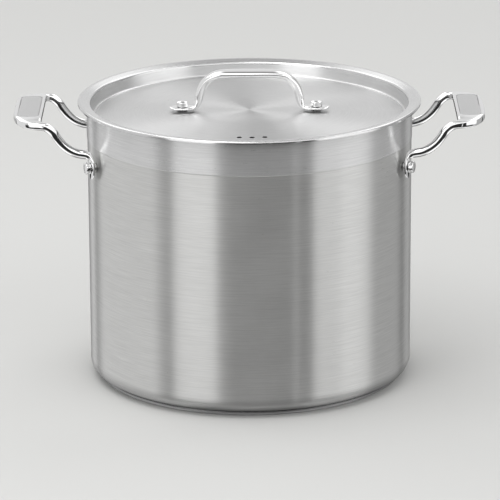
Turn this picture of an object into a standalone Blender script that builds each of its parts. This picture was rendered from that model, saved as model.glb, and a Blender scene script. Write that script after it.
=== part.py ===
"""Twelve-quart stock pot with a lift-off lid.

Metres, +Z up. The origin is the centre of the base's underside, the side handles lie along X, and
the lid's vent holes face -Y. Pieces that touch on the real pot keep a gap of GAP between them.
"""

from math import acos, ceil, cos, pi, radians, sin, tan

import bmesh
import bpy
from mathutils import Matrix, Vector

GAP = 0.0003
TURNED_STEPS = 56
SMALL_STEPS = 14
ARC_SAG = 0.00018
SECTION_POINTS = 12
SECTIONS_PER_SPAN = 2
TONGUE_ANGLES = (radians(12), radians(35), radians(60))
TONGUE_SQUARE = 3.0
DRILL_LENGTH = 0.0140
MIRROR_MERGE = 0.00005

# Pot body: a straight drawn shell whose top band stands slightly proud.
BODY_RADIUS = 0.1298
BAND_RADIUS = 0.1302
INNER_RADIUS = 0.1290
BODY_SHEET = 0.0008
RIM_Z = 0.2236
BAND_Z = 0.1970
BAND_STEP = 0.0004
BODY_BOTTOM_Z = 0.0036
BODY_CORNER = 0.0090
RIM_EDGE = 0.0002

# Encapsulated base: an aluminium disc held under the body by a pressed steel cap.
CAP_RADIUS = 0.1232
CAP_SHEET = 0.0006
CAP_CORNER = 0.0030
CAP_TOP_Z = BODY_BOTTOM_Z - GAP
CORE_RADIUS = CAP_RADIUS - CAP_SHEET - GAP

# Lid: a low-domed panel, a recess wall that drops inside the pot, and a flange that rests on the rim.
LID_SHEET = 0.0008
LID_CENTRE_Z = 0.2165
PANEL_RADIUS = 0.1240
PANEL_DOME = 0.0025
RECESS_TOP_RADIUS = 0.1272
RECESS_FILLET = 0.0020
RECESS_LEAN = 0.0010
DOME_SHARES = (0, 0.45, 0.8)
FLANGE_INNER_Z = RIM_Z + GAP + LID_SHEET
FLANGE_RADIUS = 0.1370
FLANGE_CREST_Z = 0.2264
FLANGE_DROOP = 0.0002
FLANGE_CORNER = 0.0030
LIP_BEND = 0.0010
LIP_Z = RIM_Z + GAP
VENT_RADIUS = 0.0020
VENT_CIRCLE = 0.0830
VENT_SPACING = 0.0100
VENT_ROW_X = 0.0020
VENT_COUNT = 3

# Rivets and the spacers under their lugs.
HEAD_RADIUS = 0.0047
HEAD_HEIGHT = 0.0036
HEAD_DOME = 0.0008
HEAD_EDGE = 0.0005
SHANK_RADIUS = 0.0024
HOLE_RADIUS = SHANK_RADIUS + GAP
TAIL_RADIUS = 0.0055
TAIL_HEIGHT = 0.0013
TAIL_CLEARANCE = 0.0006
SPACER_RADIUS = 0.0042
DOME_SHARE = 0.5

# Side handles: cast loops with a flat grip, on lugs that lie tangent to the wall.
LUG_ANGLE = radians(20.5)
LUG_RADIUS = 0.1333
LUG_HALF_WIDTH = 0.0064
LUG_HALF_THICK = 0.0013
LUG_TIP_Z = 0.1722
SIDE_RIVET_Z = 0.1815
ROD_RADIUS = 0.0035
LEG_Y = 0.0475
GRIP_Z = 0.2171
GRIP_HALF_THICK = 0.0030
INLAY_CENTRE_X = 0.1754
INLAY_LENGTH = 0.0660
INLAY_WIDTH = 0.0165
INLAY_CORNER = 0.0050
INLAY_DEPTH = 0.0010
INLAY_SINK = 0.0002
POCKET_RISE = 0.0020

# Lid handle: a cast strap that narrows to round legs and ends in flat lugs.
LID_LUG_Z = 0.2182
LID_LUG_HALF_THICK = 0.0011
LID_LUG_TIP_X = 0.0638
LID_LUG_HALF_WIDTH = 0.0066
LID_RIVET_X = 0.0536

X_AXIS = Vector((1, 0, 0))
Y_AXIS = Vector((0, 1, 0))
Z_AXIS = Vector((0, 0, 1))

SATIN = ((0.62, 0.62, 0.62), 0.32, 1.0)
POLISHED = ((0.80, 0.80, 0.80), 0.08, 1.0)
MATT = ((0.55, 0.55, 0.55), 0.55, 0.6)
ALUMINIUM = ((0.75, 0.75, 0.76), 0.45, 1.0)


def clear_scene():
    """Remove whatever objects the file opened with."""
    for obj in list(bpy.data.objects):
        bpy.data.objects.remove(obj, do_unlink=True)


def new_collection(name):
    group = bpy.data.collections.new(name)
    bpy.context.scene.collection.children.link(group)
    return group


def add_object(name, mesh, group, finish=None):
    """Link a mesh as a named object, with a Principled material of its own when a finish is given."""
    obj = bpy.data.objects.new(name, mesh)
    group.objects.link(obj)
    if finish is not None:
        colour, roughness, metallic = finish
        surface = bpy.data.materials.new(name)
        surface.use_nodes = True
        shader = surface.node_tree.nodes["Principled BSDF"]
        shader.inputs["Base Color"].default_value = (*colour, 1.0)
        shader.inputs["Roughness"].default_value = roughness
        shader.inputs["Metallic"].default_value = metallic
        obj.data.materials.append(surface)
    return obj


def rounded(corners):
    """Turn (radius, height, fillet) corners into outline points, with an arc at each fillet."""
    points = []
    for index, (r, z, fillet) in enumerate(corners):
        corner = Vector((r, z))
        if fillet == 0:
            points.append(corner)
            continue
        back = (Vector(corners[index - 1][:2]) - corner).normalized()
        ahead = (Vector(corners[(index + 1) % len(corners)][:2]) - corner).normalized()
        opening = acos(max(-1.0, min(1.0, back.dot(ahead))))
        centre = corner + (back + ahead).normalized() * (fillet / sin(opening / 2))
        start = (corner + back * (fillet / tan(opening / 2)) - centre).normalized()
        end = (corner + ahead * (fillet / tan(opening / 2)) - centre).normalized()
        arc_step = 2 * acos(max(-1.0, 1 - ARC_SAG / fillet))
        steps = max(1, ceil((pi - opening) / arc_step))
        for step in range(steps + 1):
            points.append(centre + start.slerp(end, step / steps) * fillet)
    return points


def turned(name, outline, group, finish, steps=TURNED_STEPS, closed=False):
    """Revolve an outline about Z. It runs down its outer side and either starts and ends on the
    axis or closes on itself."""
    mesh = bpy.data.meshes.new(name)
    edges = [(i, i + 1) for i in range(len(outline) - 1)]
    if closed:
        edges.append((len(outline) - 1, 0))
    mesh.from_pydata([(p.x, 0.0, p.y) for p in outline], edges, [])
    obj = add_object(name, mesh, group, finish)
    screw = obj.modifiers.new("Turn", "SCREW")
    screw.steps = screw.render_steps = steps
    screw.use_merge_vertices = True
    screw.merge_threshold = 0.0001
    screw.use_smooth_shade = True
    return obj


def as_cutter(obj, place):
    """Put a cutting shape in its place, kept out of sight."""
    obj.matrix_world = place
    obj.hide_render = True
    obj.display_type = "WIRE"
    return obj


def hole_cutter(name, place, radius, group):
    """A cylinder along the local Z of place, for drilling."""
    mesh = bpy.data.meshes.new(name)
    shape = bmesh.new()
    bmesh.ops.create_cone(shape, cap_ends=True, segments=SMALL_STEPS,
                          radius1=radius, radius2=radius, depth=DRILL_LENGTH)
    shape.to_mesh(mesh)
    shape.free()
    return as_cutter(add_object(name, mesh, group), place)


def cut(target, cutter):
    boolean = target.modifiers.new(cutter.name, "BOOLEAN")
    boolean.operation = "DIFFERENCE"
    boolean.solver = "EXACT"
    boolean.object = cutter


class Section:
    """One cross-section of a lofted bar: its centre, its half-width and half-thickness as vectors,
    and how square it is (2 is an ellipse, more is boxier)."""

    def __init__(self, centre, half_width, half_thick, square=2.0):
        self.centre = Vector(centre)
        self.half_width = Vector(half_width)
        self.half_thick = Vector(half_thick)
        self.square = square

    def ring(self):
        points = []
        for index in range(SECTION_POINTS):
            angle = 2 * pi * (index + 0.5) / SECTION_POINTS
            across, up = cos(angle), sin(angle)
            reach = (abs(across) ** self.square + abs(up) ** self.square) ** (-1 / self.square)
            offset = self.half_width * (across * reach) + self.half_thick * (up * reach)
            points.append(self.centre + offset)
        return points


def catmull_rom(a, b, c, d, t):
    """Smooth value between b and c at t, with a and d as their neighbours."""
    square = 2 * a - 5 * b + 4 * c - d
    cube = 3 * b - a - 3 * c + d
    return 0.5 * (2 * b + (c - a) * t + square * t ** 2 + cube * t ** 3)


def smooth_sections(stations):
    """Fill the spans between stations with evenly blended sections."""
    result = []
    last = len(stations) - 1
    for index in range(last):
        near = [stations[max(0, index - 1)], stations[index], stations[index + 1],
                stations[min(last, index + 2)]]
        for step in range(SECTIONS_PER_SPAN):
            t = step / SECTIONS_PER_SPAN
            blend = [catmull_rom(*(getattr(s, field) for s in near), t)
                     for field in ("centre", "half_width", "half_thick", "square")]
            result.append(Section(*blend))
    result.append(stations[last])
    return result


def tongue_end(tip, inward, half_width, half_thick):
    """Sections of a lug's rounded end, from the tip inwards along the given unit vector."""
    reach = half_width.length
    return [Section(tip + inward * (reach * (1 - cos(angle))), half_width * sin(angle),
                    half_thick, TONGUE_SQUARE) for angle in TONGUE_ANGLES]


def loft_half(name, sections, mirror_axis, group, finish):
    """Skin the sections into a bar that is capped at its first section and open at its last, then
    mirror it across the plane of the last one."""
    mesh = bpy.data.meshes.new(name)
    shape = bmesh.new()
    rings = [[shape.verts.new(point) for point in section.ring()] for section in sections]
    for ring, following in zip(rings, rings[1:]):
        for index in range(SECTION_POINTS):
            after = (index + 1) % SECTION_POINTS
            shape.faces.new((ring[index], following[index], following[after], ring[after]))
    shape.faces.new(rings[0])
    shape.to_mesh(mesh)
    shape.free()
    mesh.shade_smooth()
    obj = add_object(name, mesh, group, finish)
    mirror = obj.modifiers.new("Mirror", "MIRROR")
    mirror.use_axis = [mirror_axis == "X", mirror_axis == "Y", False]
    mirror.use_mirror_merge = True
    mirror.merge_threshold = MIRROR_MERGE
    return obj


def side_handle_sections():
    """The rear half of the +X handle, from the lug's tip up the leg and along the grip to y = 0.

    Half-thickness points to the outside of the lug, which becomes the underside of the leg and grip.
    """
    outward = Vector((cos(LUG_ANGLE), sin(LUG_ANGLE), 0))
    along_wall = Vector((-sin(LUG_ANGLE), cos(LUG_ANGLE), 0))
    lug = outward * LUG_RADIUS
    wide, thick = along_wall * LUG_HALF_WIDTH, outward * LUG_HALF_THICK
    tongue = tongue_end(lug + Z_AXIS * LUG_TIP_Z, Z_AXIS, wide, thick)

    # The flat of the lug, then the neck where it turns into the leg.
    stations = [Section(lug + Z_AXIS * z, wide, thick, TONGUE_SQUARE) for z in (0.1786, 0.1850)]
    stations.append(Section((0.1252, 0.0470, 0.1888), wide * 0.80, thick * 1.4, 2.4))

    # Along the leg: x, z, and the climb in degrees.
    leg = [(0.1270, 0.1913, 50), (0.1304, 0.1926, 15), (0.1356, 0.1935, 18), (0.1414, 0.1960, 32),
           (0.1469, 0.2003, 46), (0.1512, 0.2056, 54), (0.1547, 0.2108, 53), (0.1592, 0.2144, 26)]
    for x, z, climb in leg:
        underside = Vector((sin(radians(climb)), 0, -cos(radians(climb))))
        stations.append(Section((x, LEG_Y, z), Y_AXIS * ROD_RADIUS, underside * ROD_RADIUS))

    # Round the corner and along the grip: the inner and outer edges in plan, how far the bar lies
    # below the middle of the grip, and the squareness.
    rails = [((0.1622, 0.0438), (0.1636, 0.0505), 0.0016, 3.0),
             ((0.1637, 0.0427), (0.1716, 0.0483), 0.0013, 4.0),
             ((0.1644, 0.0406), (0.1788, 0.0440), 0.0009, 5.0),
             ((0.1646, 0.0376), (0.1836, 0.0368), 0.0004, 6.0),
             ((0.1646, 0.0320), (0.1864, 0.0280), 0.0, 6.0),
             ((0.1646, 0.0180), (0.1873, 0.0150), 0.0, 6.0),
             ((0.1646, 0.0), (0.1874, 0.0), 0.0, 6.0)]
    for inner, outer, drop, square in rails:
        inner, outer = Vector((*inner, GRIP_Z - drop)), Vector((*outer, GRIP_Z - drop))
        stations.append(Section((inner + outer) / 2, (outer - inner) / 2,
                                -Z_AXIS * GRIP_HALF_THICK, square))
    return tongue + smooth_sections(stations)


def lid_handle_sections():
    """The +X half of the lid handle, from the lug's tip up the leg and along the strap to x = 0."""
    wide, thick = Y_AXIS * LID_LUG_HALF_WIDTH, Z_AXIS * LID_LUG_HALF_THICK
    tongue = tongue_end(Vector((LID_LUG_TIP_X, 0, LID_LUG_Z)), -X_AXIS, wide, thick)
    stations = [Section((x, 0, LID_LUG_Z), wide, thick, TONGUE_SQUARE) for x in (0.0572, 0.0490)]

    # Along the strap: x, z, half-width, half-thickness, degrees its outer side tips up, squareness.
    strap = [(0.0446, 0.2186, 0.0052, 0.0017, 72, 2.6), (0.0421, 0.2206, 0.0041, 0.0027, 38, 2.2),
             (0.0407, 0.2245, 0.0036, 0.0033, 12, 2.0), (0.0395, 0.2295, 0.0035, 0.0034, 14, 2.0),
             (0.0377, 0.2348, 0.0038, 0.0034, 24, 2.0), (0.0345, 0.2400, 0.0049, 0.0032, 42, 2.2),
             (0.0294, 0.2440, 0.0066, 0.0029, 64, 2.5), (0.0226, 0.2460, 0.0078, 0.0028, 82, 2.8),
             (0.0110, 0.2465, 0.0083, 0.0028, 89, 2.8), (0.0, 0.2465, 0.0084, 0.0028, 90, 2.8)]
    for x, z, half_width, half_thick, lean, square in strap:
        outside = Vector((cos(radians(lean)), 0, sin(radians(lean))))
        stations.append(Section((x, 0, z), Y_AXIS * half_width, outside * half_thick, square))
    return tongue + smooth_sections(stations)


def radial_place(angle, z):
    """Frame at height z whose local Z points out of the pot's wall at the given angle."""
    upright = Matrix.Rotation(angle, 4, "Z") @ Matrix.Rotation(pi / 2, 4, "Y")
    return Matrix.Translation((0, 0, z)) @ upright


def make_pot_body(parts):
    outline = rounded([
        (0, BODY_BOTTOM_Z + BODY_SHEET, 0),
        (INNER_RADIUS, BODY_BOTTOM_Z + BODY_SHEET, BODY_CORNER - BODY_SHEET),
        (INNER_RADIUS, RIM_Z, RIM_EDGE),
        (BAND_RADIUS, RIM_Z, RIM_EDGE),
        (BAND_RADIUS, BAND_Z, 0),
        (BODY_RADIUS, BAND_Z - BAND_STEP, 0),
        (BODY_RADIUS, BODY_BOTTOM_Z, BODY_CORNER),
        (0, BODY_BOTTOM_Z, 0)])
    return turned("pot_body", outline, parts, SATIN)


def make_base(parts):
    cap_inner = CAP_RADIUS - CAP_SHEET
    turned("base_cap", rounded([
        (0, CAP_SHEET, 0),
        (cap_inner, CAP_SHEET, CAP_CORNER - CAP_SHEET),
        (cap_inner, CAP_TOP_Z, 0),
        (CAP_RADIUS, CAP_TOP_Z, 0),
        (CAP_RADIUS, 0, CAP_CORNER),
        (0, 0, 0)]), parts, SATIN)
    turned("base_core", rounded([
        (0, CAP_TOP_Z, 0),
        (CORE_RADIUS, CAP_TOP_Z, GAP),
        (CORE_RADIUS, CAP_SHEET + GAP, CAP_CORNER - CAP_SHEET - GAP),
        (0, CAP_SHEET + GAP, 0)]), parts, ALUMINIUM)


def panel_z(radius):
    """Height of the lid panel's upper face, a shallow dome."""
    return LID_CENTRE_Z - PANEL_DOME * (radius / PANEL_RADIUS) ** 2


def make_lid(parts, cutters):
    """A pressed sheet: its upper face is turned, then thickened downwards."""
    dome = [(PANEL_RADIUS * share, panel_z(PANEL_RADIUS * share), 0) for share in DOME_SHARES]
    upper_face = rounded(dome + [
        (PANEL_RADIUS + RECESS_LEAN, panel_z(PANEL_RADIUS), RECESS_FILLET),
        (RECESS_TOP_RADIUS, FLANGE_INNER_Z, RECESS_FILLET),
        (FLANGE_RADIUS - FLANGE_CORNER, FLANGE_CREST_Z - FLANGE_DROOP, FLANGE_CORNER),
        (FLANGE_RADIUS, FLANGE_CREST_Z, LIP_BEND),
        (FLANGE_RADIUS, LIP_Z, 0)])
    lid = turned("lid", upper_face, parts, SATIN)
    sheet = lid.modifiers.new("Sheet", "SOLIDIFY")
    sheet.thickness = LID_SHEET
    sheet.offset = -1
    for index in range(VENT_COUNT):
        x = VENT_ROW_X + VENT_SPACING * (index - (VENT_COUNT - 1) / 2)
        y = -(VENT_CIRCLE ** 2 - x ** 2) ** 0.5
        place = Matrix.Translation((x, y, panel_z(VENT_CIRCLE)))
        cut(lid, hole_cutter(f"vent_cutter_{index + 1}", place, VENT_RADIUS, cutters))
    return lid


def rivet_outline(grip):
    """A rivet along Z: the round head's seat is at z = 0 and the flat tail's seat at z = -grip."""
    dome = [(share * HEAD_RADIUS, HEAD_HEIGHT + HEAD_DOME * (1 - share ** 2), 0)
            for share in (0, DOME_SHARE)]
    return rounded(dome + [
        (HEAD_RADIUS, HEAD_HEIGHT, HEAD_EDGE),
        (HEAD_RADIUS, 0, 0),
        (SHANK_RADIUS, 0, 0),
        (SHANK_RADIUS, -grip, 0),
        (TAIL_RADIUS, -grip, 0),
        (TAIL_RADIUS, -grip - TAIL_HEIGHT, HEAD_EDGE),
        (0, -grip - TAIL_HEIGHT, 0)])


def spacer_outline(length):
    """A short tube round the shank, from z = 0 down to z = -length."""
    return [Vector(corner) for corner in ((HOLE_RADIUS, -length), (HOLE_RADIUS, 0),
                                          (SPACER_RADIUS, 0), (SPACER_RADIUS, -length))]


def make_side_handles(parts, cutters, pot_body):
    """Both handles and their grip inlays, with a rivet and a spacer at each of the four lugs."""
    sections = side_handle_sections()
    for side, turn in (("right", 0.0), ("left", pi)):
        facing = Matrix.Rotation(turn, 4, "Z")
        handle = loft_half(f"handle_{side}", sections, "Y", parts, POLISHED)
        handle.matrix_world = facing
        pocket = inlay_block(f"inlay_cutter_{side}", INLAY_DEPTH + GAP, cutters, margin=GAP,
                             rise=POCKET_RISE)
        cut(handle, as_cutter(pocket, facing))
        inlay = inlay_block(f"grip_inlay_{side}", INLAY_DEPTH, parts, finish=MATT)
        inlay.matrix_world = facing
        for angle in (turn - LUG_ANGLE, turn + LUG_ANGLE):
            end = "rear" if sin(angle) > 0 else "front"
            fasten_lug(f"{side}_{end}", angle, handle, pot_body, parts, cutters)


def fasten_lug(label, angle, handle, pot_body, parts, cutters):
    """Rivet a lug to the wall at the given angle, over a spacer."""
    head_seat = LUG_RADIUS + LUG_HALF_THICK + GAP
    tail_seat = INNER_RADIUS - TAIL_CLEARANCE
    spacer_top = LUG_RADIUS - LUG_HALF_THICK - GAP
    spacer_foot = BODY_RADIUS + GAP
    place = radial_place(angle, SIDE_RIVET_Z)
    drill = hole_cutter(f"rivet_cutter_{label}", place @ Matrix.Translation((0, 0, LUG_RADIUS)),
                        HOLE_RADIUS, cutters)
    cut(handle, drill)
    cut(pot_body, drill)
    rivet = turned(f"handle_rivet_{label}", rivet_outline(head_seat - tail_seat), parts, POLISHED,
                   SMALL_STEPS)
    rivet.matrix_world = place @ Matrix.Translation((0, 0, head_seat))
    spacer = turned(f"handle_spacer_{label}", spacer_outline(spacer_top - spacer_foot), parts, SATIN,
                    SMALL_STEPS, closed=True)
    spacer.matrix_world = place @ Matrix.Translation((0, 0, spacer_top))


def inlay_block(name, depth, group, finish=None, margin=0.0, rise=0.0):
    """The inlay's rounded plate on the +X grip, going depth below its face. A pocket for it is
    grown by margin at its edges and rises above the face."""
    half_length, half_width = INLAY_LENGTH / 2 + margin, INLAY_WIDTH / 2 + margin
    face_z = GRIP_Z + GRIP_HALF_THICK - INLAY_SINK
    top_z = face_z + rise
    bottom_z = face_z - depth
    centre = Vector((INLAY_CENTRE_X, 0))
    corners = [(half_width, half_length), (-half_width, half_length),
               (-half_width, -half_length), (half_width, -half_length)]
    outline = rounded([(*(centre + Vector(c)), INLAY_CORNER + margin) for c in corners])
    mesh = bpy.data.meshes.new(name)
    shape = bmesh.new()
    face = shape.faces.new([shape.verts.new((p.x, p.y, bottom_z)) for p in outline])
    extruded = bmesh.ops.extrude_face_region(shape, geom=[face])
    lifted = [item for item in extruded["geom"] if isinstance(item, bmesh.types.BMVert)]
    bmesh.ops.translate(shape, verts=lifted, vec=(0, 0, top_z - bottom_z))
    bmesh.ops.recalc_face_normals(shape, faces=shape.faces)
    shape.to_mesh(mesh)
    shape.free()
    return add_object(name, mesh, group, finish)


def make_lid_handle(parts, cutters, lid):
    """The strap handle with a rivet and a spacer at each lug. Returns every piece made."""
    handle = loft_half("lid_handle", lid_handle_sections(), "X", parts, POLISHED)
    pieces = [handle]
    panel = panel_z(LID_RIVET_X)
    head_seat = LID_LUG_Z + LID_LUG_HALF_THICK + GAP
    tail_seat = panel - LID_SHEET - GAP
    spacer_top = LID_LUG_Z - LID_LUG_HALF_THICK - GAP
    for side, x in (("right", LID_RIVET_X), ("left", -LID_RIVET_X)):
        drill = hole_cutter(f"lid_rivet_cutter_{side}", Matrix.Translation((x, 0, panel)),
                            HOLE_RADIUS, cutters)
        cut(handle, drill)
        cut(lid, drill)
        rivet = turned(f"lid_rivet_{side}", rivet_outline(head_seat - tail_seat), parts, POLISHED,
                       SMALL_STEPS)
        rivet.location = (x, 0, head_seat)
        spacer = turned(f"lid_spacer_{side}", spacer_outline(spacer_top - panel - GAP), parts, SATIN,
                        SMALL_STEPS, closed=True)
        spacer.location = (x, 0, spacer_top)
        pieces += [rivet, spacer]
    return pieces


def hang_on_lift_axis(pieces, parts):
    """Parent the lid's pieces to an empty on the vertical axis along which the lid lifts."""
    axis = bpy.data.objects.new("lid_lift_axis", None)
    axis.location = (0, 0, RIM_Z)
    parts.objects.link(axis)
    for piece in pieces:
        piece.parent = axis
        piece.matrix_parent_inverse = Matrix.Translation((0, 0, -RIM_Z))


def main():
    clear_scene()
    parts = new_collection("stock_pot")
    cutters = new_collection("cutters")
    pot_body = make_pot_body(parts)
    make_base(parts)
    make_side_handles(parts, cutters, pot_body)
    lid = make_lid(parts, cutters)
    lid_pieces = make_lid_handle(parts, cutters, lid)
    hang_on_lift_axis([lid] + lid_pieces, parts)


main()
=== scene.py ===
"""Looks of the stock pot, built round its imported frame.

Metres, +Z up, the base's underside at z = 0. The side handles lie along X and the lid's vents face
-Y. The outer radii, the main heights, and the places and lengths of the rivets and spacers are read
from the frame. Each fine mesh replaces the plain solid it refines.
"""

from math import acos, atan2, ceil, cos, pi, radians, sin, tan

import bmesh
import bpy
from mathutils import Matrix, Vector


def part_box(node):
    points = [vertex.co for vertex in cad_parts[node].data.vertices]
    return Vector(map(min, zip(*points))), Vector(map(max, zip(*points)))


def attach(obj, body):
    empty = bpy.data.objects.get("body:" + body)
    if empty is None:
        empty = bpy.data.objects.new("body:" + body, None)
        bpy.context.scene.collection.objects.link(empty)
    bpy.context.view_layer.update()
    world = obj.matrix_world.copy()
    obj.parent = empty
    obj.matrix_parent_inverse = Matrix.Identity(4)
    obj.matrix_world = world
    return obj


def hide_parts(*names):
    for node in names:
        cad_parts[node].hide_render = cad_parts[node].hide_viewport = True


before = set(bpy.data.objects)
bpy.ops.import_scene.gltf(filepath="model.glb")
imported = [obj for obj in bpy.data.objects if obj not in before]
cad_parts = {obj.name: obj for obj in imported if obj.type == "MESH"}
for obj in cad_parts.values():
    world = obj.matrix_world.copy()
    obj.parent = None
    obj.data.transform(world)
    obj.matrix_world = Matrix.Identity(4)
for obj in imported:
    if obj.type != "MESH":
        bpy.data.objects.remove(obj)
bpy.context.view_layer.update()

X_AXIS = Vector((1, 0, 0))
Y_AXIS = Vector((0, 1, 0))
Z_AXIS = Vector((0, 0, 1))

# How finely the meshes are cut. Outlines get extra points SUPPORT from the ends of a long span and
# at most LONGEST_SPAN apart along it.
WALL_STEPS = 288
RIVET_STEPS = 48
ARC_SAG = 0.000012
SUPPORT = 0.0005
LONGEST_SPAN = 0.012
RING_POINTS = 64
SECTIONS_PER_SPAN = 7
SHARP_ANGLE = radians(32)
TURN_MERGE = 0.00001
MIRROR_MERGE = 0.00002

# Clearance between pieces that touch on the real pot.
GAP = 0.0003

# Sizes that the frame's boxes give.
BODY_LOW, BODY_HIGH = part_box("pot_body")
BAND_RADIUS, RIM_Z, BODY_BOTTOM_Z = BODY_HIGH.x, BODY_HIGH.z, BODY_LOW.z
CAP_RADIUS, CAP_TOP_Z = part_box("base_cap")[1].x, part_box("base_cap")[1].z
FLANGE_RADIUS, FLANGE_CREST_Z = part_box("lid")[1].x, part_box("lid")[1].z
PANEL_EDGE_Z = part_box("lid")[0].z

# Pot body.
BODY_SHEET = 0.0008
BAND_STEP = 0.0004
BAND_BEVEL = 0.0003
BAND_Z = 0.1970
BODY_RADIUS = BAND_RADIUS - BAND_STEP
INNER_RADIUS = BODY_RADIUS - BODY_SHEET
BODY_CORNER = 0.0090
RIM_EDGE = 0.0003

# Base.
CAP_SHEET = 0.0006
CAP_CORNER = 0.0030
CAP_LIP = 0.0002

# Lid.
LID_SHEET = 0.0008
PANEL_RADIUS = 0.1240
PANEL_DOME = 0.0025
PANEL_STEPS = 16
LID_CENTRE_Z = PANEL_EDGE_Z + LID_SHEET + PANEL_DOME
RECESS_TOP_RADIUS = 0.1272
RECESS_LEAN = 0.0010
RECESS_FILLET = 0.0020
RECESS_EDGE = 0.0004
RECESS_FOOT_RADIUS = PANEL_RADIUS + RECESS_LEAN - RECESS_EDGE
FLANGE_INNER_Z = RIM_Z + GAP + LID_SHEET
FLANGE_CORNER = 0.0030
FLANGE_DROOP = 0.0002
LIP_BEND = 0.0015
LIP_Z = RIM_Z + GAP
VENT_RADIUS = 0.0020
VENT_CIRCLE = 0.0830
VENT_SPACING = 0.0100
VENT_ROW_X = 0.0020
VENT_COUNT = 3

# Rivets and spacers.
HEAD_RADIUS = 0.0047
HEAD_HEIGHT = 0.0036
HEAD_DOME = 0.0008
HEAD_DOME_SHARES = (0, 0.2, 0.4, 0.6)
HEAD_EDGE = 0.0007
SHANK_RADIUS = 0.0024
HOLE_RADIUS = SHANK_RADIUS + GAP
TAIL_RADIUS = 0.0055
TAIL_HEIGHT = 0.0013
TAIL_EDGE = 0.0005
SPACER_RADIUS = 0.0042
SPACER_EDGE = 0.0003
DRILL_LENGTH = 0.0140

# Side handles.
LUG_ANGLE = radians(20.5)
LUG_RADIUS = 0.1333
LUG_HALF_WIDTH = 0.0064
LUG_HALF_THICK = 0.0013
LUG_TIP_Z = 0.1722
ROD_RADIUS = 0.0035
LEG_Y = 0.0475
GRIP_Z = 0.2171
GRIP_HALF_THICK = 0.0030
PAD_CENTRE_X = 0.1754
PAD_LENGTH = 0.0660
PAD_WIDTH = 0.0165
PAD_CORNER = 0.0050
PAD_DEPTH = 0.0010
PAD_SINK = 0.0002
PAD_EDGE = 0.0004
PAD_EDGE_STEPS = 5
POCKET_RISE = 0.0020
# The pad's slight crown: how far in from its rounded edge, and how far up.
PAD_CROWN = [(0.0015, 0.00012), (0.0040, 0.0002)]

# Lid handle.
LID_LUG_Z = 0.2182
LID_LUG_HALF_THICK = 0.0011
LID_LUG_TIP_X = 0.0638
LID_LUG_HALF_WIDTH = 0.0066

# Lugs of all the handles: how square they are, and where their rounded end is cut, from its tip.
LUG_SQUARE = 3.0
TONGUE_ANGLES = [radians(4 + 8 * step) for step in range(10)]

# Material slots of the pot body and of the lid.
WALL_SLOT, BAND_SLOT, INSIDE_SLOT = range(3)
PANEL_SLOT, FLANGE_SLOT, HOLE_SHADE_SLOT, RECESS_SLOT = range(4)
# A face of the lid stands upright when its normal's z is below this.
UPRIGHT = 0.5

# Surface patterns: the range that most of a noise value lies in, then each noise's detail and
# roughness. On a wall, brush lines are LINE_STRETCH times as long as they are wide. On a disc,
# LINE_TURN sets how fast they change round the axis, and AXIS_RADIUS is the least radius to divide by.
NOISE_LOW, NOISE_HIGH = 0.3, 0.7
LINE_DETAIL, LINE_ROUGHNESS = 3.0, 0.65
LINE_STRETCH = 45
LINE_TURN = 5.0
AXIS_RADIUS = 0.001
GRAIN_DETAIL, GRAIN_ROUGHNESS = 3.0, 0.6
BRUSH_ROTATION = 0.25
RELIEF_DEPTH = 0.0002
# Handling marks: broad patches that vary the tone and the roughness a little.
MARK_SCALE, MARK_DETAIL, MARK_ROUGHNESS = 24.0, 3.0, 0.55
MARK_TONE = (0.985, 1.015)
MARK_SHINE = (0.96, 1.04)

# Camera.
CAMERA_AIM = Vector((0, 0, 0.0993))
CAMERA_DISTANCE = 2.9645
CAMERA_ELEVATION = radians(16.5974)
CAMERA_ROLL = radians(-0.2624)
CAMERA_LENS = 263.8
CAMERA_SENSOR = 36
CAMERA_REACH = 100

# The floor lies FLOOR_GAP below the base, so that their faces don't coincide.
FLOOR_GAP = 0.0002
FLOOR_RADIUS = 14
FLOOR_STEPS = 96
FLOOR_COLOUR = (0.58, 0.58, 0.57, 1)
FLOOR_ROUGHNESS = 0.9
FLOOR_SPECULAR = 0.1

# Lamp above the pot.
LAMP_SIZE = (1.1, 0.9)
LAMP_POWER = 9
LAMP_PLACE = Vector((-0.5, -0.35, 1.6))
LAMP_AIM = Vector((0, 0, 0.1))

# The plain brightness that the camera sees behind the pot.
BACKDROP_LEVEL = 0.66

# Studio, seen from the pot. Angles are in degrees, and azimuths run from the camera's side
# towards +X. Plain surroundings: elevation, brightness.
STUDIO_SKY = [(-90, 0.30), (-64, 0.34), (-44, 0.42), (-20, 0.45), (-12, 0.50), (45, 0.60),
              (72, 1.00), (90, 1.70)]
# Cards: azimuth and half-width, elevation and half-height, softness of the edge, brightness. Where
# cards overlap, the later one covers the earlier.
STUDIO_CARDS = [
    (-111, 50, 0, 50, 5, 0.80),
    (0, 70, -28, 16, 3, 0.02),
    (0, 100, 62, 9, 3, 0.10),
    (-39, 16, 20, 36, 3, 1.70),
    (15, 30, 34, 18, 5, 1.60),
    (15, 30, -16, 32, 4, 0.03),
    (32.5, 0.7, 8, 34, 0.8, 1.00),
    (70, 25, 20, 36, 3, 1.50),
    (130, 36, 16, 34, 12, 0.46),
    (180, 30, 8, 20, 6, 0.80),
    (180, 21, -27, 18, 3, 0.08),
    (180, 20, 56, 13, 6, 0.20),
    (-135, 22, 47, 17, 6, 2.10),
    (135, 22, 47, 17, 6, 2.00),
    (-167, 7, 31, 9, 3, 1.95),
    (167, 7, 31, 9, 3, 1.95),
    (-141, 4, -16, 9, 1.5, 0.04),
    (139, 4, -16, 9, 1.5, 0.04),
    (0, 50, -64, 20, 4, 0.95),
    (-90, 44, -56, 12, 3, 1.30),
    (90, 44, -56, 12, 3, 1.30)]


# ---- meshes ---------------------------------------------------------------------------------------

def new_object(name, mesh):
    obj = bpy.data.objects.new(name, mesh)
    bpy.context.scene.collection.objects.link(obj)
    return obj


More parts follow.
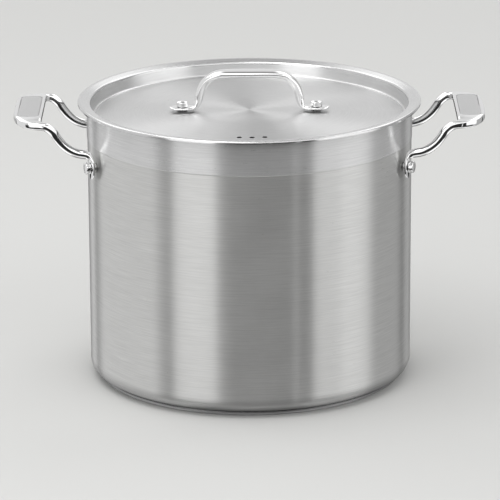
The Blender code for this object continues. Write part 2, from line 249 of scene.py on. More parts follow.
def baked(obj):
    """Swap an object's mesh for what its modifiers make of it."""
    evaluated = obj.evaluated_get(bpy.context.evaluated_depsgraph_get())
    mesh = bpy.data.meshes.new_from_object(evaluated)
    obj.modifiers.clear()
    obj.data = mesh
    return obj


def smooth(obj):
    obj.data.shade_smooth()
    obj.data.set_sharp_from_angle(angle=SHARP_ANGLE)
    return obj


def rounded(corners):
    """Turn (radius, height, fillet) corners into outline points, with an arc at each fillet."""
    points = []
    for index, (r, z, fillet) in enumerate(corners):
        corner = Vector((r, z))
        if fillet == 0:
            points.append(corner)
            continue
        back = (Vector(corners[index - 1][:2]) - corner).normalized()
        ahead = (Vector(corners[(index + 1) % len(corners)][:2]) - corner).normalized()
        opening = acos(max(-1.0, min(1.0, back.dot(ahead))))
        centre = corner + (back + ahead).normalized() * (fillet / sin(opening / 2))
        start = (corner + back * (fillet / tan(opening / 2)) - centre).normalized()
        end = (corner + ahead * (fillet / tan(opening / 2)) - centre).normalized()
        arc_step = 2 * acos(max(-1.0, 1 - ARC_SAG / fillet))
        steps = max(2, ceil((pi - opening) / arc_step))
        for step in range(steps + 1):
            points.append(centre + start.slerp(end, step / steps) * fillet)
    return points


def supported(points, closed):
    """Add points near the ends of each long span, and along it, so that shading stays true."""
    result = []
    count = len(points) if closed else len(points) - 1
    for index in range(count):
        start, end = points[index], points[(index + 1) % len(points)]
        result.append(start)
        span = (end - start).length
        if span <= 3 * SUPPORT:
            continue
        inner = ceil((span - 2 * SUPPORT) / LONGEST_SPAN)
        for step in range(inner + 1):
            along = SUPPORT + (span - 2 * SUPPORT) * step / inner
            result.append(start.lerp(end, along / span))
    if not closed:
        result.append(points[-1])
    return result


def turned(name, outline, steps=WALL_STEPS, closed=False):
    """Revolve an outline about Z. It runs down its outer side."""
    points = supported(outline, closed)
    mesh = bpy.data.meshes.new(name)
    edges = [(i, i + 1) for i in range(len(points) - 1)]
    if closed:
        edges.append((len(points) - 1, 0))
    mesh.from_pydata([(p.x, 0.0, p.y) for p in points], edges, [])
    obj = new_object(name, mesh)
    screw = obj.modifiers.new("Turn", "SCREW")
    screw.steps = screw.render_steps = steps
    screw.use_merge_vertices = True
    screw.merge_threshold = TURN_MERGE
    return smooth(baked(obj))


def drill(obj, places, radius):
    """Cut a round hole through obj at each place, along the place's local Z."""
    cutters = []
    for place in places:
        mesh = bpy.data.meshes.new("drill")
        shape = bmesh.new()
        bmesh.ops.create_cone(shape, cap_ends=True, segments=RIVET_STEPS,
                              radius1=radius, radius2=radius, depth=DRILL_LENGTH)
        shape.to_mesh(mesh)
        shape.free()
        cutters.append(new_object("drill", mesh))
        cutters[-1].matrix_world = place
    carve(obj, cutters)


def carve(obj, cutters):
    """Subtract the cutters from obj and remove them."""
    for cutter in cutters:
        boolean = obj.modifiers.new("Cut", "BOOLEAN")
        boolean.operation = "DIFFERENCE"
        boolean.solver = "EXACT"
        boolean.object = cutter
    bpy.context.view_layer.update()
    smooth(baked(obj))
    for cutter in cutters:
        bpy.data.objects.remove(cutter, do_unlink=True)


class Section:
    """One cross-section of a lofted bar: its centre, its half-width and half-thickness as vectors,
    and how square it is (2 is an ellipse, more is boxier)."""

    def __init__(self, centre, half_width, half_thick, square=2.0):
        self.centre = Vector(centre)
        self.half_width = Vector(half_width)
        self.half_thick = Vector(half_thick)
        self.square = square

    def ring(self):
        points = []
        for index in range(RING_POINTS):
            angle = 2 * pi * (index + 0.5) / RING_POINTS
            power = 2 / self.square
            across = abs(cos(angle)) ** power * (1 if cos(angle) > 0 else -1)
            up = abs(sin(angle)) ** power * (1 if sin(angle) > 0 else -1)
            points.append(self.centre + self.half_width * across + self.half_thick * up)
        return points


def catmull_rom(a, b, c, d, t):
    """Smooth value between b and c at t, with a and d as their neighbours."""
    square = 2 * a - 5 * b + 4 * c - d
    cube = 3 * b - a - 3 * c + d
    return 0.5 * (2 * b + (c - a) * t + square * t ** 2 + cube * t ** 3)


def smooth_sections(stations):
    """Fill the spans between stations with evenly blended sections."""
    result = []
    last = len(stations) - 1
    for index in range(last):
        near = [stations[max(0, index - 1)], stations[index], stations[index + 1],
                stations[min(last, index + 2)]]
        for step in range(SECTIONS_PER_SPAN):
            t = step / SECTIONS_PER_SPAN
            blend = [catmull_rom(*(getattr(s, field) for s in near), t)
                     for field in ("centre", "half_width", "half_thick", "square")]
            result.append(Section(*blend))
    result.append(stations[last])
    return result


def tongue_end(tip, inward, half_width, half_thick):
    """Sections of a lug's rounded end, from the tip inwards along the given unit vector."""
    radius = half_width.length
    return [Section(tip + inward * (radius * (1 - cos(angle))), half_width * sin(angle),
                    half_thick, LUG_SQUARE) for angle in TONGUE_ANGLES]


def loft_half(name, sections, mirror_axis):
    """Skin the sections into a bar, capped at its first section, and mirror it at its last."""
    mesh = bpy.data.meshes.new(name)
    shape = bmesh.new()
    rings = [[shape.verts.new(point) for point in section.ring()] for section in sections]
    for ring, following in zip(rings, rings[1:]):
        for index in range(RING_POINTS):
            after = (index + 1) % RING_POINTS
            shape.faces.new((ring[index], following[index], following[after], ring[after]))
    shape.faces.new(rings[0])
    shape.to_mesh(mesh)
    shape.free()
    obj = new_object(name, mesh)
    mirror = obj.modifiers.new("Mirror", "MIRROR")
    mirror.use_axis = [mirror_axis == "X", mirror_axis == "Y", False]
    mirror.merge_threshold = MIRROR_MERGE
    return smooth(baked(obj))


# ---- materials ------------------------------------------------------------------------------------

class Graph:
    """A short way to write the node tree of a material or of the surroundings."""

    def __init__(self, tree):
        self.tree = tree

    def node(self, kind, settings=None, **inputs):
        made = self.tree.nodes.new(kind)
        for key, value in (settings or {}).items():
            setattr(made, key, value)
        for key, value in inputs.items():
            self.feed(made.inputs[key], value)
        return made

    def feed(self, socket, value):
        if isinstance(value, bpy.types.NodeSocket):
            self.tree.links.new(value, socket)
        else:
            socket.default_value = value

    def math(self, operation, *values):
        made = self.node("ShaderNodeMath", {"operation": operation})
        for socket, value in zip(made.inputs, values):
            self.feed(socket, value)
        return made.outputs[0]

    def mapped(self, value, low, high, start=NOISE_LOW, end=NOISE_HIGH):
        """Spread a value that lies between start and end over low to high."""
        made = self.node("ShaderNodeMapRange", Value=value)
        for name, number in (("From Min", start), ("From Max", end), ("To Min", low), ("To Max", high)):
            made.inputs[name].default_value = number
        return made.outputs[0]

    def blend(self, start, end, share):
        """start where share is 0, end where it is 1."""
        return self.math("MULTIPLY_ADD", self.math("SUBTRACT", end, start), share, start)

    def inside(self, distance, half_width, soft):
        """1 within half_width, falling softly to 0 beyond it."""
        made = self.node("ShaderNodeMapRange", {"interpolation_type": "SMOOTHSTEP"}, Value=distance)
        made.inputs["From Min"].default_value = half_width + soft
        made.inputs["From Max"].default_value = half_width - soft
        return made.outputs[0]

    def noise(self, vector, scale, detail, roughness):
        made = self.node("ShaderNodeTexNoise", Vector=vector, Scale=scale, Detail=detail,
                         Roughness=roughness)
        return made.outputs["Fac"]

    def place(self):
        return self.node("ShaderNodeTexCoord").outputs["Object"]

    def scaled(self, vector, x, y, z):
        made = self.node("ShaderNodeVectorMath", {"operation": "MULTIPLY"})
        self.feed(made.inputs[0], vector)
        made.inputs[1].default_value = (x, y, z)
        return made.outputs[0]


def wall_lines(graph, fineness):
    """Brush lines that run round a wall: they change with height and hardly at all along it."""
    along = fineness / LINE_STRETCH
    vector = graph.scaled(graph.place(), along, along, fineness)
    return graph.noise(vector, 1.0, LINE_DETAIL, LINE_ROUGHNESS)


def disc_lines(graph, fineness):
    """Brush lines in circles round the axis: they change with the distance from it."""
    parts = graph.node("ShaderNodeSeparateXYZ", Vector=graph.place()).outputs
    radius = graph.math("SQRT", graph.math("ADD", graph.math("MULTIPLY", parts[0], parts[0]),
                                           graph.math("MULTIPLY", parts[1], parts[1])))
    safe = graph.math("MAXIMUM", radius, AXIS_RADIUS)
    turn_x = graph.math("MULTIPLY", graph.math("DIVIDE", parts[0], safe), LINE_TURN)
    turn_y = graph.math("MULTIPLY", graph.math("DIVIDE", parts[1], safe), LINE_TURN)
    vector = graph.node("ShaderNodeCombineXYZ", X=turn_x, Y=turn_y,
                        Z=graph.math("MULTIPLY", radius, fineness)).outputs[0]
    return graph.noise(vector, 1.0, LINE_DETAIL, LINE_ROUGHNESS)


def fine_grain(graph, fineness):
    """Even grain, as left by tumbling, blasting or polishing."""
    return graph.noise(graph.place(), fineness, GRAIN_DETAIL, GRAIN_ROUGHNESS)


def steel(name, colour, roughness, anisotropic, lines, fineness, bump, shade=0.05, spread=0.1,
          metallic=1.0, foot=None):
    """A metal whose brush lines or grain vary its colour, roughness and relief.

    shade and spread are the shares by which the lines vary the colour and the roughness. foot is a
    low height, a high height and a share: between the heights the tone rises from that share to full.
    This darkening towards the bottom is painted shade.
    """
    material = bpy.data.materials.new(name)
    material.use_nodes = True
    graph = Graph(material.node_tree)
    shader = material.node_tree.nodes["Principled BSDF"]
    shader.inputs["Metallic"].default_value = metallic
    shader.inputs["Anisotropic"].default_value = anisotropic
    shader.inputs["Anisotropic Rotation"].default_value = BRUSH_ROTATION
    if anisotropic:
        tangent = graph.node("ShaderNodeTangent", {"direction_type": "RADIAL", "axis": "Z"})
        graph.feed(shader.inputs["Tangent"], tangent.outputs[0])
    pattern = lines(graph, fineness)
    marks = graph.noise(graph.place(), MARK_SCALE, MARK_DETAIL, MARK_ROUGHNESS)
    tone = graph.math("MULTIPLY", graph.mapped(pattern, 1 - shade, 1 + shade),
                      graph.mapped(marks, *MARK_TONE))
    # Painted shade: below the foot's high height the tone darkens towards the bottom.
    if foot:
        low, high, share = foot
        height = graph.node("ShaderNodeSeparateXYZ", Vector=graph.place()).outputs[2]
        tone = graph.math("MULTIPLY", tone, graph.mapped(height, share, 1.0, low, high))
    tint = graph.node("ShaderNodeVectorMath", {"operation": "SCALE"}, Scale=tone)
    tint.inputs[0].default_value = colour
    graph.feed(shader.inputs["Base Color"], tint.outputs[0])
    dull, bright = roughness * (1 + spread), roughness * (1 - spread)
    rough = graph.math("MULTIPLY", graph.mapped(pattern, dull, bright),
                       graph.mapped(marks, *MARK_SHINE))
    graph.feed(shader.inputs["Roughness"], rough)
    relief = graph.node("ShaderNodeBump", Strength=bump, Distance=RELIEF_DEPTH,
                        Height=pattern)
    graph.feed(shader.inputs["Normal"], relief.outputs[0])
    return material


def grey(level):
    return (level, level, level)


def make_materials():
    """Every finish: its name, colour, roughness, anisotropy, pattern, fineness, bump and variation."""
    return {
        # The wall's foot is painted shade: its tone darkens towards the pot's bottom corner.
        "wall": steel("wall_brushed", (0.62, 0.62, 0.61), 0.31, 0.95, wall_lines, 1500, 0.03, 0.09,
                      metallic=0.88, foot=(0.004, 0.016, 0.24)),
        "band": steel("band_brushed", grey(0.65), 0.30, 0.90, wall_lines, 1600, 0.03, 0.09,
                      metallic=0.76),
        "inside": steel("inside_satin", (0.58, 0.58, 0.57), 0.34, 0.60, wall_lines, 700, 0.10),
        "lid": steel("lid_brushed", grey(0.60), 0.31, 0.86, disc_lines, 1700, 0.03, 0.05,
                     metallic=0.94),
        "flange": steel("flange_satin", grey(0.64), 0.19, 0.85, disc_lines, 1500, 0.03,
                        metallic=0.92),
        "recess": steel("recess_satin", grey(0.66), 0.34, 0.70, disc_lines, 1500, 0.05),
        # Painted shade: the base is given a dark tone, 0.26, for its shadowed edge.
        "base": steel("base_brushed_painted_shade", grey(0.26), 0.40, 0.70, disc_lines, 800, 0.12),
        # Painted shade: the walls of the lid's vents and rivet holes are near black, for the shade
        # inside them.
        "hole_shade": steel("hole_wall_painted_shade", grey(0.03), 0.6, 0.0, fine_grain, 900, 0.2),
        "core": steel("core_aluminium", (0.74, 0.74, 0.75), 0.45, 0.0, fine_grain, 900, 0.15),
        "polished": steel("polished_steel", grey(0.84), 0.03, 0.0, fine_grain, 260, 0.01, 0.01),
        "rivet": steel("rivet_polished", grey(0.82), 0.05, 0.0, fine_grain, 420, 0.02, 0.02),
        "spacer": steel("spacer_turned", grey(0.56), 0.28, 0.0, fine_grain, 900, 0.08),
        "pad": steel("pad_blasted", grey(0.50), 0.60, 0.0, fine_grain, 2600, 0.30, 0.04),
    }


def paint(obj, *materials):
    obj.data.materials.clear()
    for material in materials:
        obj.data.materials.append(material)


def assign_slots(obj, choose):
    """Give each face the material slot that choose names for its centre and normal.

    Painting puts every face back on the first slot, so this comes after it.
    """
    for face in obj.data.polygons:
        face.material_index = choose(face.center, face.normal)


# ---- pieces ---------------------------------------------------------------------------------------

def settle(obj, body, nodes, slot, *materials):
    """Paint a finished piece and put it in the place of its CAD nodes."""
    paint(obj, *materials)
    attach(obj, body)
    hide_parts(*nodes)


def reach(node, direction):
    """Least and greatest distance of a CAD node's points along a unit vector."""
    along = [vertex.co.dot(direction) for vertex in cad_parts[node].data.vertices]
    return min(along), max(along)


def radial_place(angle, z):
    """Frame at height z whose local Z points out of the pot's wall at the given angle."""
    upright = Matrix.Rotation(angle, 4, "Z") @ Matrix.Rotation(pi / 2, 4, "Y")
    return Matrix.Translation((0, 0, z)) @ upright


def box_centre(node):
    low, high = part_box(node)
    return (low + high) / 2


def side_lugs():
    """Each side lug's label, with the angle and height of its rivet."""
    for side in ("right", "left"):
        for end in ("front", "rear"):
            centre = box_centre(f"handle_rivet_{side}_{end}")
            yield f"{side}_{end}", atan2(centre.y, centre.x), centre.z


def pot_slot(centre, normal):
    """The finish of a face of the pot body: inside, top band or wall."""
    across = Vector((centre.x, centre.y, 0))
    inner_side = normal.z > 0 or normal.dot(across) < 0
    if inner_side and across.length < (INNER_RADIUS + BODY_RADIUS) / 2:
        return INSIDE_SLOT
    return BAND_SLOT if centre.z > BAND_Z - BAND_STEP / 2 else WALL_SLOT


def make_pot_body(look):
    outline = rounded([
        (0, BODY_BOTTOM_Z + BODY_SHEET, 0),
        (INNER_RADIUS, BODY_BOTTOM_Z + BODY_SHEET, BODY_CORNER - BODY_SHEET),
        (INNER_RADIUS, RIM_Z, RIM_EDGE),
        (BAND_RADIUS, RIM_Z, RIM_EDGE),
        (BAND_RADIUS, BAND_Z, BAND_BEVEL / 2),
        (BODY_RADIUS, BAND_Z - BAND_STEP, BAND_BEVEL / 2),
        (BODY_RADIUS, BODY_BOTTOM_Z, BODY_CORNER),
        (0, BODY_BOTTOM_Z, 0)])
    pot = turned("pot_shell", outline)
    drill(pot, [radial_place(angle, z) @ Matrix.Translation((0, 0, LUG_RADIUS))
                for _, angle, z in side_lugs()], HOLE_RADIUS)
    settle(pot, "pot", ["pot_body"], "body_steel", look["wall"], look["band"], look["inside"])
    assign_slots(pot, pot_slot)


def make_base(look):
    cap_inner = CAP_RADIUS - CAP_SHEET
    dish = turned("base_dish", rounded([
        (0, CAP_SHEET, 0),
        (cap_inner, CAP_SHEET, CAP_CORNER - CAP_SHEET),
        (cap_inner, CAP_TOP_Z, CAP_LIP),
        (CAP_RADIUS, CAP_TOP_Z, CAP_LIP),
        (CAP_RADIUS, 0, CAP_CORNER),
        (0, 0, 0)]))
    settle(dish, "pot", ["base_cap"], "base_steel", look["base"])
    paint(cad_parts["base_core"], look["core"])


def panel_z(radius):
    """Height of the lid panel's upper face, a shallow dome."""
    return LID_CENTRE_Z - PANEL_DOME * (radius / PANEL_RADIUS) ** 2


def lid_outline():
    """The lid's upper face, from its centre out over the flange and down to the edge of the lip."""
    radii = [PANEL_RADIUS * step / PANEL_STEPS for step in range(PANEL_STEPS)]
    return rounded([(radius, panel_z(radius), 0) for radius in radii] + [
        (PANEL_RADIUS + RECESS_LEAN, panel_z(PANEL_RADIUS), RECESS_FILLET),
        (RECESS_TOP_RADIUS, FLANGE_INNER_Z, RECESS_FILLET),
        (FLANGE_RADIUS - FLANGE_CORNER, FLANGE_CREST_Z - FLANGE_DROOP, FLANGE_CORNER),
        (FLANGE_RADIUS, FLANGE_CREST_Z, LIP_BEND),
        (FLANGE_RADIUS, LIP_Z, 0)])


def vent_places():
    """The vents' row on the front of the lid's panel."""
    places = []
    for index in range(VENT_COUNT):
        x = VENT_ROW_X + VENT_SPACING * (index - (VENT_COUNT - 1) / 2)
        y = -(VENT_CIRCLE ** 2 - x ** 2) ** 0.5
        places.append(Matrix.Translation((x, y, panel_z(VENT_CIRCLE))))
    return places


def lid_slot(centre, normal):
    """The finish of a face of the lid: painted shade on the walls of its holes, recess wall, flange or
    panel.
    """
    radius = Vector(centre[:2]).length
    # The upright walls of the vents and rivet holes get the painted shade.
    if abs(normal.z) < UPRIGHT and radius < VENT_CIRCLE + 2 * VENT_RADIUS:
        return HOLE_SHADE_SLOT
    if RECESS_FOOT_RADIUS < radius < RECESS_TOP_RADIUS - RECESS_EDGE:
        return RECESS_SLOT
    return FLANGE_SLOT if radius > PANEL_RADIUS - RECESS_FILLET else PANEL_SLOT


def make_lid(look):
    """The pressing: its upper face is turned, then thickened downwards and drilled."""
    lid = turned("lid_pressing", lid_outline())
    sheet = lid.modifiers.new("Sheet", "SOLIDIFY")
    sheet.thickness = LID_SHEET
    sheet.offset = -1
    sheet.use_even_offset = True
    smooth(baked(lid))
    drill(lid, vent_places(), VENT_RADIUS)
    drill(lid, [Matrix.Translation((box_centre(f"lid_rivet_{side}").x, 0, PANEL_EDGE_Z))
                for side in ("right", "left")], HOLE_RADIUS)
    settle(lid, "lid", ["lid"], "lid_steel", look["lid"], look["flange"], look["hole_shade"],
           look["recess"])
    assign_slots(lid, lid_slot)


def rivet_outline(grip):
    """A rivet along Z: the round head's seat is at z = 0 and the flat tail's seat at z = -grip."""
    dome = [(share * HEAD_RADIUS, HEAD_HEIGHT + HEAD_DOME * (1 - share ** 2), 0)
            for share in HEAD_DOME_SHARES]
    return rounded(dome + [
        (HEAD_RADIUS, HEAD_HEIGHT, HEAD_EDGE),
        (HEAD_RADIUS, 0, TAIL_EDGE / 2),
        (SHANK_RADIUS, 0, 0),
        (SHANK_RADIUS, -grip, 0),
        (TAIL_RADIUS, -grip, 0),
        (TAIL_RADIUS, -grip - TAIL_HEIGHT, TAIL_EDGE),
        (0, -grip - TAIL_HEIGHT, 0)])


def spacer_outline(length):
    """A short tube round the shank, from z = 0 down to z = -length."""
    return rounded([(HOLE_RADIUS, -length, SPACER_EDGE), (HOLE_RADIUS, 0, SPACER_EDGE),
                    (SPACER_RADIUS, 0, SPACER_EDGE), (SPACER_RADIUS, -length, SPACER_EDGE)])


def place_fasteners(rivet_node, spacer_node, place, outward, body, look):
    """Turn one rivet and its spacer, as long as the frame's, and stand them on place's local Z."""
    tail_end, head_top = reach(rivet_node, outward)
    head_seat = head_top - HEAD_HEIGHT - HEAD_DOME
    grip = head_seat - (tail_end + TAIL_HEIGHT)
    rivet = turned(rivet_node.replace("rivet", "rivet_fine"), rivet_outline(grip), RIVET_STEPS)
    rivet.matrix_world = place @ Matrix.Translation((0, 0, head_seat))
    settle(rivet, body, [rivet_node], "rivet_steel", look["rivet"])
    foot, top = reach(spacer_node, outward)
    spacer = turned(spacer_node.replace("spacer", "spacer_fine"), spacer_outline(top - foot),
                    RIVET_STEPS, closed=True)
    spacer.matrix_world = place @ Matrix.Translation((0, 0, top))
    settle(spacer, body, [spacer_node], "spacer_steel", look["spacer"])


def side_handle_sections():
    """The rear half of the +X handle, from the lug's tip up the leg and along the grip to y = 0.

    Half-thickness points to the outside of the lug, which becomes the underside of the leg and grip.
    """
    outward = Vector((cos(LUG_ANGLE), sin(LUG_ANGLE), 0))
    along_wall = Vector((-sin(LUG_ANGLE), cos(LUG_ANGLE), 0))
    lug = outward * LUG_RADIUS
    wide, thick = along_wall * LUG_HALF_WIDTH, outward * LUG_HALF_THICK
    tongue = tongue_end(lug + Z_AXIS * LUG_TIP_Z, Z_AXIS, wide, thick)

    # The flat lug against the wall, and its bend into the leg.
    stations = [Section(lug + Z_AXIS * z, wide, thick, LUG_SQUARE) for z in (0.1786, 0.1850)]
    stations.append(Section((0.1252, 0.0470, 0.1888), wide * 0.80, thick * 1.4, 2.4))

    # Along the leg: x, z, and the climb in degrees.
    leg = [(0.1270, 0.1913, 50), (0.1304, 0.1926, 15), (0.1356, 0.1935, 18), (0.1414, 0.1960, 32),
           (0.1469, 0.2003, 46), (0.1512, 0.2056, 54), (0.1547, 0.2108, 53), (0.1592, 0.2144, 26)]
    for x, z, climb in leg:
        underside = Vector((sin(radians(climb)), 0, -cos(radians(climb))))
        stations.append(Section((x, LEG_Y, z), Y_AXIS * ROD_RADIUS, underside * ROD_RADIUS))

    # Round the corner and along the grip: the inner and outer edges in plan, how far the bar lies
    # below the middle of the grip, and the squareness.
    rails = [((0.1622, 0.0438), (0.1636, 0.0505), 0.0016, 3.0),
             ((0.1637, 0.0427), (0.1716, 0.0483), 0.0013, 4.0),
             ((0.1644, 0.0406), (0.1788, 0.0440), 0.0009, 5.0),
             ((0.1646, 0.0376), (0.1836, 0.0368), 0.0004, 6.0),
             ((0.1646, 0.0320), (0.1864, 0.0280), 0.0, 6.0),
             ((0.1646, 0.0180), (0.1873, 0.0150), 0.0, 6.0),
             ((0.1646, 0.0), (0.1874, 0.0), 0.0, 6.0)]
    for inner, outer, drop, square in rails:
        inner, outer = Vector((*inner, GRIP_Z - drop)), Vector((*outer, GRIP_Z - drop))
        stations.append(Section((inner + outer) / 2, (outer - inner) / 2,
                                -Z_AXIS * GRIP_HALF_THICK, square))
    return tongue + smooth_sections(stations)


def pad_levels(face_z, depth, rise, edge):
    """How far in, and how high, each ring of a pad block lies, from the bottom up."""
    levels = [(0.0, face_z - depth)]
    if not edge:
        return levels + [(0.0, face_z + rise)]
    for step in range(PAD_EDGE_STEPS + 1):
        turn = pi / 2 * step / PAD_EDGE_STEPS
        levels.append((edge * (1 - cos(turn)), face_z - edge + edge * sin(turn)))
    return levels + [(edge + inset, face_z + height) for inset, height in PAD_CROWN]


def pad_block(name, depth, margin=0.0, rise=0.0, edge=0.0):
    """The pad's rounded plate on the +X grip. A pocket for it is grown by margin and rises above
    the face; the pad itself has its upper edge rounded."""
    face_z = GRIP_Z + GRIP_HALF_THICK - PAD_SINK
    half_length, half_width = PAD_LENGTH / 2 + margin, PAD_WIDTH / 2 + margin
    mesh = bpy.data.meshes.new(name)
    shape = bmesh.new()
    rings = []
    for inset, z in pad_levels(face_z, depth, rise, edge):
        x, y, corner = half_width - inset, half_length - inset, PAD_CORNER + margin - inset
        outline = rounded([(x, y, corner), (-x, y, corner), (-x, -y, corner), (x, -y, corner)])
        if rings and len(outline) != len(rings[0]):
            outline = resampled(outline, len(rings[0]))
        rings.append([shape.verts.new((PAD_CENTRE_X + p.x, p.y, z)) for p in outline])
    for ring, above in zip(rings, rings[1:]):
        for index in range(len(ring)):
            after = (index + 1) % len(ring)
            shape.faces.new((ring[index], ring[after], above[after], above[index]))
    shape.faces.new(list(reversed(rings[0])))
    shape.faces.new(rings[-1])
    bmesh.ops.recalc_face_normals(shape, faces=shape.faces)
    shape.to_mesh(mesh)
    shape.free()
    return smooth(new_object(name, mesh))


def resampled(outline, count):
    """The same closed outline with count points, spread evenly over its own."""
    total = len(outline)
    result = []
    for index in range(count):
        at = index * total / count
        low = int(at)
        result.append(outline[low % total].lerp(outline[(low + 1) % total], at - low))
    return result


def make_side_handles(look):
    lugs = list(side_lugs())
    for side, turn in (("right", 0.0), ("left", pi)):
        facing = Matrix.Rotation(turn, 4, "Z")
        handle = loft_half(f"handle_loop_{side}", side_handle_sections(), "Y")
        handle.data.transform(facing)
        pocket = pad_block("pocket", PAD_DEPTH + GAP, GAP, POCKET_RISE)
        pocket.data.transform(facing)
        carve(handle, [pocket])
        own = [(label, angle, z) for label, angle, z in lugs if label.startswith(side)]
        drill(handle, [radial_place(angle, z) @ Matrix.Translation((0, 0, LUG_RADIUS))
                       for _, angle, z in own], HOLE_RADIUS)
        settle(handle, "pot", [f"handle_{side}"], "handle_steel", look["polished"])
        pad = pad_block(f"grip_pad_{side}", PAD_DEPTH, edge=PAD_EDGE)
        pad.data.transform(facing)
        settle(pad, "pot", [f"grip_inlay_{side}"], "inlay_steel", look["pad"])
        for label, angle, z in own:
            place_fasteners(f"handle_rivet_{label}", f"handle_spacer_{label}", radial_place(angle, z),
                            Vector((cos(angle), sin(angle), 0)), "pot", look)


def lid_handle_sections():
    """The +X half of the lid handle, from the lug's tip up the leg and along the strap to x = 0."""
    wide, thick = Y_AXIS * LID_LUG_HALF_WIDTH, Z_AXIS * LID_LUG_HALF_THICK
    tongue = tongue_end(Vector((LID_LUG_TIP_X, 0, LID_LUG_Z)), -X_AXIS, wide, thick)

    # The flat lug on the lid.
    stations = [Section((x, 0, LID_LUG_Z), wide, thick, LUG_SQUARE) for x in (0.0572, 0.0490)]

    # Along the strap: x, z, half-width, half-thickness, degrees its outer side tips up, squareness.
    strap = [(0.0446, 0.2186, 0.0052, 0.0017, 72, 2.6), (0.0421, 0.2206, 0.0041, 0.0027, 38, 2.2),
             (0.0407, 0.2245, 0.0036, 0.0033, 12, 2.0), (0.0395, 0.2295, 0.0035, 0.0034, 14, 2.0),
             (0.0377, 0.2348, 0.0038, 0.0034, 24, 2.0), (0.0345, 0.2400, 0.0049, 0.0032, 42, 2.2),
             (0.0294, 0.2440, 0.0066, 0.0029, 64, 2.5), (0.0226, 0.24595, 0.0078, 0.0028, 82, 2.8),
             (0.0110, 0.24645, 0.0083, 0.0028, 89, 2.8), (0.0, 0.24645, 0.0084, 0.0028, 90, 2.8)]
    for x, z, half_width, half_thick, lean, square in strap:
        outside = Vector((cos(radians(lean)), 0, sin(radians(lean))))
        stations.append(Section((x, 0, z), Y_AXIS * half_width, outside * half_thick, square))
    return tongue + smooth_sections(stations)


def make_lid_handle(look):
    handle = loft_half("lid_strap", lid_handle_sections(), "X")
    rivets = {side: box_centre(f"lid_rivet_{side}").x for side in ("right", "left")}
    drill(handle, [Matrix.Translation((x, 0, LID_LUG_Z)) for x in rivets.values()], HOLE_RADIUS)
    settle(handle, "lid", ["lid_handle"], "handle_steel", look["polished"])
    for side, x in rivets.items():
        place_fasteners(f"lid_rivet_{side}", f"lid_spacer_{side}", Matrix.Translation((x, 0, 0)),
                        Z_AXIS, "lid", look)


# ---- studio ---------------------------------------------------------------------------------------

def make_camera():
    camera = bpy.data.objects.new("camera", bpy.data.cameras.new("camera"))
    bpy.context.scene.collection.objects.link(camera)
    back = Vector((0, -cos(CAMERA_ELEVATION), sin(CAMERA_ELEVATION)))
    camera.location = CAMERA_AIM + back * CAMERA_DISTANCE
    turn = (-back).to_track_quat("-Z", "Y").to_matrix().to_4x4()
    roll = Matrix.Rotation(CAMERA_ROLL, 4, "Z")
    camera.matrix_world = Matrix.Translation(camera.location) @ turn @ roll
    camera.data.lens = CAMERA_LENS
    camera.data.sensor_width = CAMERA_SENSOR
    camera.data.clip_end = CAMERA_REACH
    bpy.context.scene.camera = camera


def make_floor():
    mesh = bpy.data.meshes.new("floor")
    shape = bmesh.new()
    bmesh.ops.create_circle(shape, cap_ends=True, segments=FLOOR_STEPS, radius=FLOOR_RADIUS)
    shape.to_mesh(mesh)
    shape.free()
    floor = new_object("floor", mesh)
    floor.location.z = -FLOOR_GAP
    material = bpy.data.materials.new("floor_pale")
    material.use_nodes = True
    shader = material.node_tree.nodes["Principled BSDF"]
    shader.inputs["Base Color"].default_value = FLOOR_COLOUR
    shader.inputs["Roughness"].default_value = FLOOR_ROUGHNESS
    shader.inputs["Specular IOR Level"].default_value = FLOOR_SPECULAR
    paint(floor, material)
    floor.visible_glossy = False


def fill_ramp(ramp, stops):
    """Set a colour ramp's stops, each a position and a grey level."""
    ramp.interpolation = "EASE"
    while len(ramp.elements) < len(stops):
        ramp.elements.new(0.5)
    for element, (position, level) in zip(ramp.elements, stops):
        element.position = position
        element.color = (*grey(level), 1)


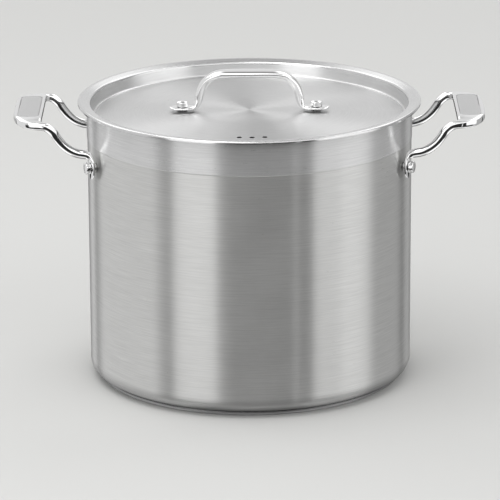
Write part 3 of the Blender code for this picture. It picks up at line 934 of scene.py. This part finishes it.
def add_card(graph, light, azimuth, elevation, card):
    """The light of the surroundings with one more card in front of them."""
    across, half_width, up, half_height, soft, level = card
    turn = graph.math("SUBTRACT", azimuth, float(across))
    beside = graph.math("ABSOLUTE", graph.math("WRAP", turn, 180.0, -180.0))
    over = graph.math("ABSOLUTE", graph.math("SUBTRACT", elevation, float(up)))
    mask = graph.math("MULTIPLY", graph.inside(beside, half_width, soft),
                      graph.inside(over, half_height, soft))
    return graph.blend(light, level, mask)


def make_surroundings():
    """A soft studio: a plain sky, with light and dark cards standing round the pot."""
    world = bpy.data.worlds.new("studio")
    world.use_nodes = True
    tree = world.node_tree
    graph = Graph(tree)
    direction = graph.node("ShaderNodeTexCoord").outputs["Generated"]
    parts = graph.node("ShaderNodeSeparateXYZ", Vector=direction).outputs
    turn = graph.math("ARCTAN2", parts[0], graph.math("MULTIPLY", parts[1], -1.0))
    azimuth = graph.math("DEGREES", turn)
    elevation = graph.math("DEGREES", graph.math("ARCSINE", parts[2]))

    # The ramp runs from 0, straight down, to 1, straight up.
    ramp = graph.node("ShaderNodeValToRGB", Fac=graph.math("MULTIPLY_ADD", elevation, 1 / 180, 0.5))
    fill_ramp(ramp.color_ramp, [((height + 90) / 180, level) for height, level in STUDIO_SKY])
    light = ramp.outputs[0]
    for card in STUDIO_CARDS:
        light = add_card(graph, light, azimuth, elevation, card)
    seen = graph.node("ShaderNodeLightPath").outputs["Is Camera Ray"]
    background = tree.nodes["Background"]
    background.inputs["Color"].default_value = (1, 1, 1, 1)
    graph.feed(background.inputs["Strength"], graph.blend(light, BACKDROP_LEVEL, seen))
    bpy.context.scene.world = world


def make_lights():
    light = bpy.data.lights.new("overhead", "AREA")
    light.shape = "RECTANGLE"
    light.size, light.size_y = LAMP_SIZE
    light.energy = LAMP_POWER
    lamp = bpy.data.objects.new("overhead", light)
    bpy.context.scene.collection.objects.link(lamp)
    lamp.location = LAMP_PLACE
    lamp.rotation_euler = (LAMP_AIM - LAMP_PLACE).to_track_quat("-Z", "Y").to_euler()


look = make_materials()
make_pot_body(look)
make_base(look)
make_lid(look)
make_side_handles(look)
make_lid_handle(look)
make_camera()
make_floor()
make_surroundings()
make_lights()
bpy.context.scene.view_settings.view_transform = "Standard"
